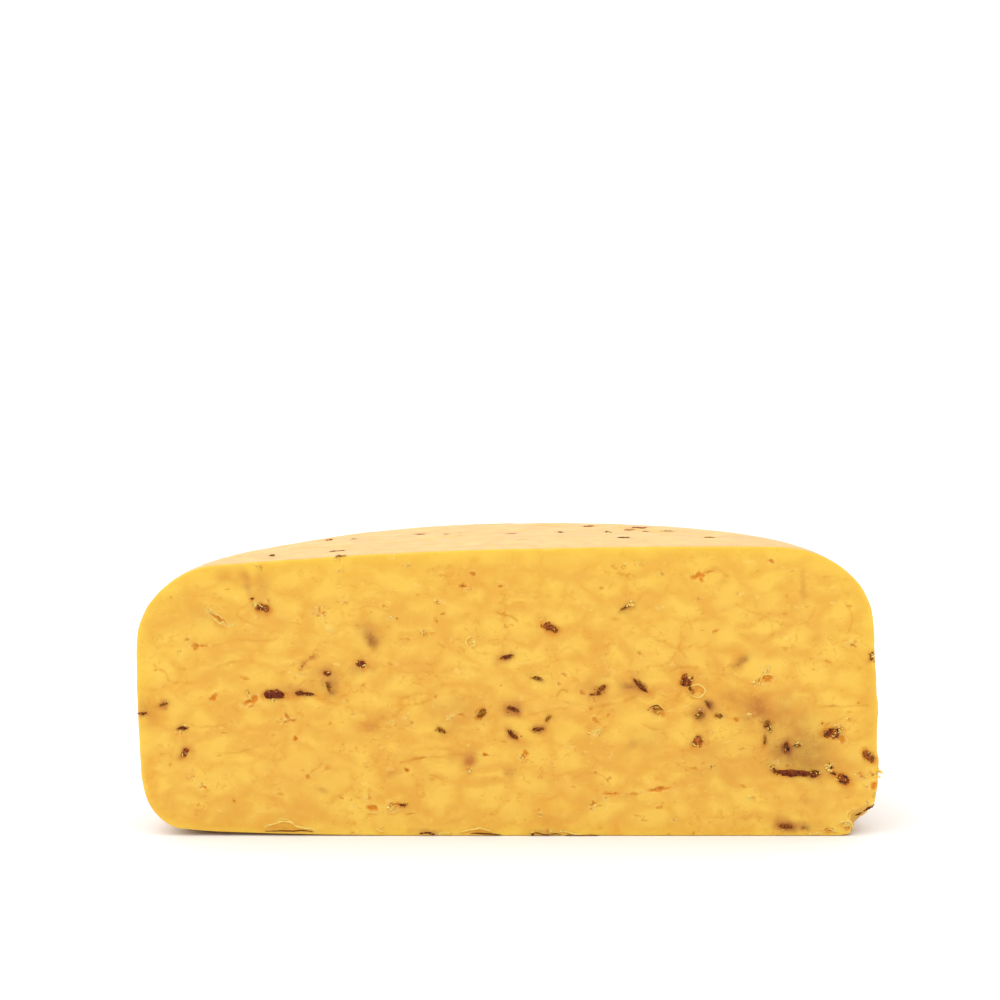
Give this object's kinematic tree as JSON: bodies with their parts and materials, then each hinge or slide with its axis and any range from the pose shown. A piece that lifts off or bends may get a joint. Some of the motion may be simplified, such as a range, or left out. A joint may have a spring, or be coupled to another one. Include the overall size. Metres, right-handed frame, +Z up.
{
  "type": "cheddar block",
  "caption": "Half wheel of marbled yellow cheddar with dark berry and herb bits, one flat cut face, a rounded rim and a flat base.",
  "frame": {"origin": "bottom centre of the block's box, on the surface that it rests on", "axes": "+X along the cut face, +Y from the cut face to the round back, +Z up"},
  "size_m": [0.2022, 0.1012, 0.0795],
  "materials": {
    "cheese": "satin"
  },
  "bodies": {
    "root": {"cheddar_block": "cheese"}
  },
  "joints": []
}
